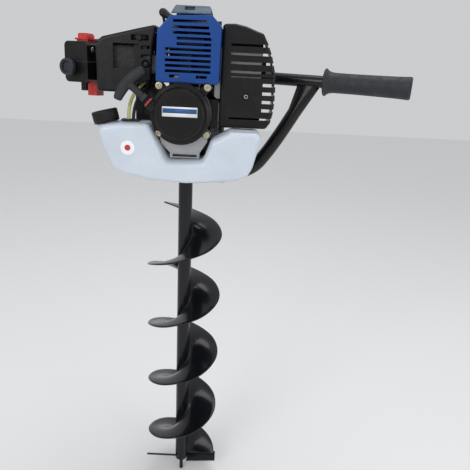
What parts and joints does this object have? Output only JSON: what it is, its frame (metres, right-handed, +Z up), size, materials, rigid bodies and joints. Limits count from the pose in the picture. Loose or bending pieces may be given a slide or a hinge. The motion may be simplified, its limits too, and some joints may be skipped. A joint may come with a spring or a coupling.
{
  "type": "earth auger",
  "caption": "Petrol earth auger: two-stroke engine, right-angle reduction gearbox, tube handlebar with throttle and grip, fuel tank and a flighted drill bit with cutting blades.",
  "frame": {"origin": "tip of the pilot point, on the bit's axis", "axes": "+Z up along the bit, +X towards the plain grip, -Y towards the recoil starter"},
  "size_m": [0.63, 0.24, 0.993],
  "materials": {
    "auger_paint": "gloss black enamel",
    "frame_paint": "satin black paint",
    "case_alloy": "as cast",
    "fin_paint": "dark heat-proof paint",
    "fan_alloy": "as cast, light grey",
    "machined_steel": "turned and ground",
    "screw_zinc": "yellow zinc plating",
    "cast_black": "fine moulded texture",
    "starter_black": "smooth satin",
    "blue_plastic": "moulded, satin gloss",
    "grey_plastic": "moulded, slate grey",
    "tank_plastic": "translucent blow-moulded",
    "red_plastic": "moulded",
    "rubber_black": "moulded rubber",
    "grip_rubber": "moulded, fine stipple",
    "filter_foam": "open-cell foam",
    "fuel_hose": "translucent tubing",
    "rope_fibre": "braided cord",
    "ceramic": "glazed"
  },
  "bodies": {
    "engine_frame": {"gear_case_lower": "case_alloy", "gear_case_plate": "case_alloy", "gear_case_upper": "case_alloy", "ball_bearings": "machined_steel", "output_seal": "rubber_black", "case_bolts": "machined_steel", "crankcase": "frame_paint", "clutch_housing": "case_alloy", "cylinder": "fin_paint", "piston": "case_alloy", "connecting_rod": "machined_steel", "spark_plug": "ceramic", "ignition_lead": "rubber_black", "ignition_coil": "machined_steel", "muffler": "machined_steel", "muffler_guard": "cast_black", "carburettor": "case_alloy", "air_filter_base": "cast_black", "air_filter_element": "filter_foam", "air_filter_cover": "cast_black", "fan_housing": "fan_alloy", "engine_shroud": "blue_plastic", "shroud_top_plate": "grey_plastic", "starter_housing": "starter_black", "engine_screws": "screw_zinc", "fuel_tank": "tank_plastic", "tank_grommet": "rubber_black", "fuel_lines": "fuel_hose", "tank_bracket": "frame_paint", "handlebar": "frame_paint", "handle_brace": "frame_paint", "handle_clamps": "frame_paint", "handle_grip": "grip_rubber", "throttle_body": "cast_black", "throttle_cable": "rubber_black"},
    "auger": {"output_shaft": "machined_steel", "output_gear": "machined_steel", "bit_tube": "auger_paint", "bit_flight": "auger_paint", "bit_blades": "auger_paint", "pilot_spike": "auger_paint", "bit_pin": "machined_steel"},
    "layshaft": {"layshaft_gear": "machined_steel"},
    "bevel_wheel": {"bevel_shaft": "machined_steel"},
    "input_shaft": {"bevel_pinion_shaft": "machined_steel", "clutch_drum": "machined_steel"},
    "crank": {"crankshaft": "machined_steel", "flywheel": "case_alloy", "clutch_rotor": "machined_steel"},
    "starter_pull": {"starter_grip": "grip_rubber", "starter_rope": "rope_fibre"},
    "starter_reel": {"starter_pulley": "cast_black"},
    "throttle_trigger": {"trigger": "red_plastic"},
    "throttle_lever": {"throttle_arm": "screw_zinc"},
    "lockout": {"lockout_lever": "cast_black"},
    "switch": {"stop_switch": "red_plastic"},
    "choke": {"choke_lever": "cast_black"},
    "primer": {"primer_bulb": "rubber_black"},
    "cap_seal": {"cap_gasket": "rubber_black"},
    "cap": {"fuel_cap": "cast_black"}
  },
  "joints": [
    {"name": "auger_spin", "type": "hinge", "parent": "engine_frame", "child": "auger", "pos_m": [0, 0, 0.7], "axis": [0, 0, 1], "continuous": true},
    {"name": "layshaft_spin", "type": "hinge", "parent": "engine_frame", "child": "layshaft", "pos_m": [0.02795, 0.025, 0.78], "axis": [0, 0, 1], "continuous": true},
    {"name": "bevel_spin", "type": "hinge", "parent": "engine_frame", "child": "bevel_wheel", "pos_m": [0, 0.05, 0.8], "axis": [0, 0, 1], "continuous": true},
    {"name": "input_spin", "type": "hinge", "parent": "engine_frame", "child": "input_shaft", "pos_m": [0, 0, 0.822], "axis": [0, 1, 0], "continuous": true},
    {"name": "crank_spin", "type": "hinge", "parent": "engine_frame", "child": "crank", "pos_m": [0, -0.05, 0.822], "axis": [0, 1, 0], "continuous": true},
    {"name": "starter_pull", "type": "slide", "parent": "engine_frame", "child": "starter_pull", "axis": [-0.7431, 0, 0.6691], "range_m": [0, 0.05], "stiffness_N_per_m": 120, "springref_m": -0.01},
    {"name": "reel_spin", "type": "hinge", "parent": "engine_frame", "child": "starter_reel", "pos_m": [0, -0.112, 0.822], "axis": [0, 1, 0], "range_deg": [0, 131]},
    {"name": "trigger_squeeze", "type": "hinge", "parent": "engine_frame", "child": "throttle_trigger", "pos_m": [-0.15788, 0.01306, 0.87419], "axis": [-0.9474, 0.3201, 0], "range_deg": [0, 20], "stiffness_Nm_per_rad": 0.6, "springref_deg": -6.88},
    {"name": "throttle_turn", "type": "hinge", "parent": "engine_frame", "child": "throttle_lever", "pos_m": [-0.06, -0.038, 0.915], "axis": [0, 0, 1], "range_deg": [-60, 0]},
    {"name": "lockout_press", "type": "hinge", "parent": "engine_frame", "child": "lockout", "pos_m": [-0.15755, 0.0328, 0.92449], "axis": [0.9474, -0.3201, 0], "range_deg": [0, 6], "stiffness_Nm_per_rad": 0.5, "springref_deg": -4.58},
    {"name": "switch_rock", "type": "hinge", "parent": "engine_frame", "child": "switch", "pos_m": [-0.17739, -0.02281, 0.92284], "axis": [-0.32, -0.9473, 0.016], "range_deg": [-10, 10]},
    {"name": "choke_turn", "type": "hinge", "parent": "engine_frame", "child": "choke", "pos_m": [-0.073, -0.07, 0.903], "axis": [0, 1, 0], "range_deg": [-17, 17]},
    {"name": "primer_press", "type": "slide", "parent": "engine_frame", "child": "primer", "axis": [0, 1, 0], "range_m": [0, 0.0035], "stiffness_N_per_m": 300, "springref_m": -0.001},
    {"name": "cap_lift", "type": "slide", "parent": "engine_frame", "child": "cap_seal", "axis": [-0.2419, 0, 0.9703], "range_m": [0, 0.022]},
    {"name": "cap_turn", "type": "hinge", "parent": "cap_seal", "child": "cap", "pos_m": [-0.1305, -0.08, 0.803], "axis": [-0.2419, 0, 0.9703], "range_deg": [0, 540]}
  ],
  "couplings": [
    {"joint": "layshaft_spin", "follows": "auger_spin", "ratio": -4},
    {"joint": "bevel_spin", "follows": "auger_spin", "ratio": 16},
    {"joint": "input_spin", "follows": "auger_spin", "ratio": -32},
    {"joint": "reel_spin", "follows": "starter_pull", "rad_per_m": 45.463},
    {"joint": "throttle_turn", "follows": "trigger_squeeze", "ratio": -3}
  ]
}
